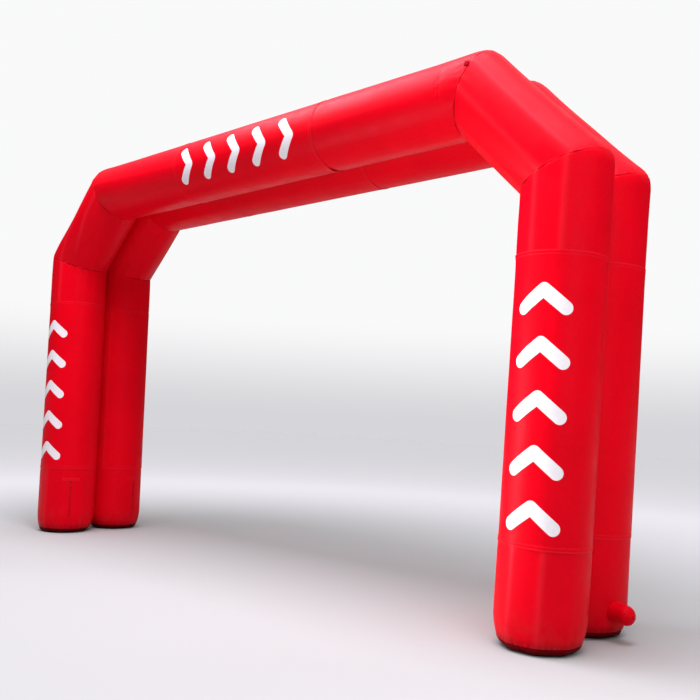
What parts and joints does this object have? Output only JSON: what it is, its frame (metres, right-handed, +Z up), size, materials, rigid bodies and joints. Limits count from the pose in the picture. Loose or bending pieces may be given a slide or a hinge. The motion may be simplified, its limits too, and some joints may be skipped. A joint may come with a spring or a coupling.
{
  "type": "inflatable arch",
  "caption": "Free-standing inflatable event arch: twin red fabric air tubes with straight legs, slanted shoulders, a level beam and wrap-round banners.",
  "frame": {"origin": "on the ground, midway between the legs and midway between the front and back tubes", "axes": "+Z up, +X across the gateway towards the leg with the inflation sleeve, +Y through the gateway from front to back"},
  "size_m": [8.0261, 1.4456, 4.8528],
  "materials": {
    "tube_fabric": "satin polyurethane-coated polyester, sewn",
    "banner_fabric": "smooth printed polyester with white chevrons on the front",
    "trim_fabric": "red webbing and zip tape"
  },
  "bodies": {
    "root": {"leg_left_front": "tube_fabric", "leg_left_back": "tube_fabric", "leg_right_front": "tube_fabric", "leg_right_back": "tube_fabric", "shoulder_left_front": "tube_fabric", "shoulder_left_back": "tube_fabric", "shoulder_right_front": "tube_fabric", "shoulder_right_back": "tube_fabric", "beam_front": "tube_fabric", "beam_back": "tube_fabric", "base_left_front": "tube_fabric", "base_left_back": "tube_fabric", "base_right_front": "tube_fabric", "base_right_back": "tube_fabric", "banner_leg_left_front": "banner_fabric", "banner_leg_left_back": "banner_fabric", "banner_leg_right_front": "banner_fabric", "banner_leg_right_back": "banner_fabric", "banner_beam_front": "banner_fabric", "banner_beam_back": "banner_fabric", "inflation_sleeve": "tube_fabric", "zip_front": "trim_fabric", "zip_back": "trim_fabric", "flap_front": "tube_fabric", "flap_back": "tube_fabric", "tie_off_tab": "trim_fabric"}
  },
  "joints": []
}
